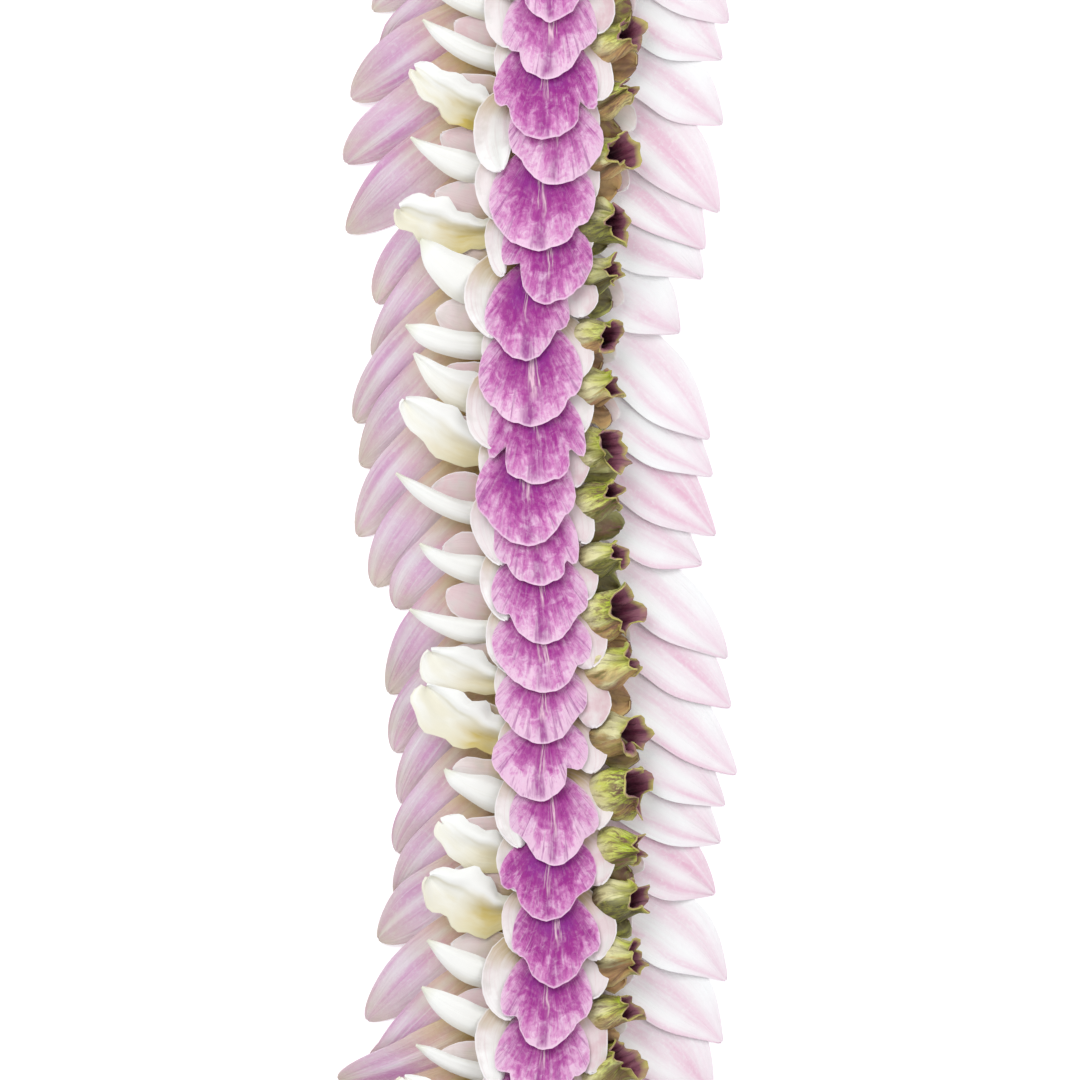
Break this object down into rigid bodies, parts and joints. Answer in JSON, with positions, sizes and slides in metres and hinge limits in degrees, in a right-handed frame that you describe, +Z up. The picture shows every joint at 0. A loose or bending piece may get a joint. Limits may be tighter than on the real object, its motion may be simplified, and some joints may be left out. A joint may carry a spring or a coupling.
{
  "type": "flower lei",
  "caption": "Fresh flower lei sewn flat, a closed loop of overlapping magenta, cream, lavender and white petals with green calyx cups on a thread, lying flat",
  "frame": {"origin": "middle of the loop's outline, on the surface that it lies on", "axes": "+Z up from the surface, +Y along the loop's straight sides, +X across them"},
  "size_m": [0.2384, 0.4358, 0.0197],
  "materials": {
    "banner": "soft magenta petal, finely veined",
    "keel": "cream-white petal, satin",
    "lavender_petal": "lavender petal with soft stripes",
    "white_petal": "white petal with pink stripes",
    "calyx": "olive green, matte",
    "thread": "cotton thread"
  },
  "bodies": {
    "root": {"thread": "thread", "calyxes_01": "calyx", "banners_01": "banner", "keels_01": "keel", "inner_petals_01": "lavender_petal", "outer_petals_01": "white_petal", "calyxes_02": "calyx", "banners_02": "banner", "keels_02": "keel", "inner_petals_02": "lavender_petal", "outer_petals_02": "white_petal", "calyxes_03": "calyx", "banners_03": "banner", "keels_03": "keel", "inner_petals_03": "lavender_petal", "outer_petals_03": "white_petal", "calyxes_04": "calyx", "banners_04": "banner", "keels_04": "keel", "inner_petals_04": "lavender_petal", "outer_petals_04": "white_petal", "calyxes_05": "calyx", "banners_05": "banner", "keels_05": "keel", "inner_petals_05": "lavender_petal", "outer_petals_05": "white_petal", "calyxes_06": "calyx", "banners_06": "banner", "keels_06": "keel", "inner_petals_06": "lavender_petal", "outer_petals_06": "white_petal", "calyxes_07": "calyx", "banners_07": "banner", "keels_07": "keel", "inner_petals_07": "lavender_petal", "outer_petals_07": "white_petal", "calyxes_08": "calyx", "banners_08": "banner", "keels_08": "keel", "inner_petals_08": "lavender_petal", "outer_petals_08": "white_petal", "calyxes_09": "calyx", "banners_09": "banner", "keels_09": "keel", "inner_petals_09": "lavender_petal", "outer_petals_09": "white_petal", "calyxes_10": "calyx", "banners_10": "banner", "keels_10": "keel", "inner_petals_10": "lavender_petal", "outer_petals_10": "white_petal"}
  },
  "joints": []
}
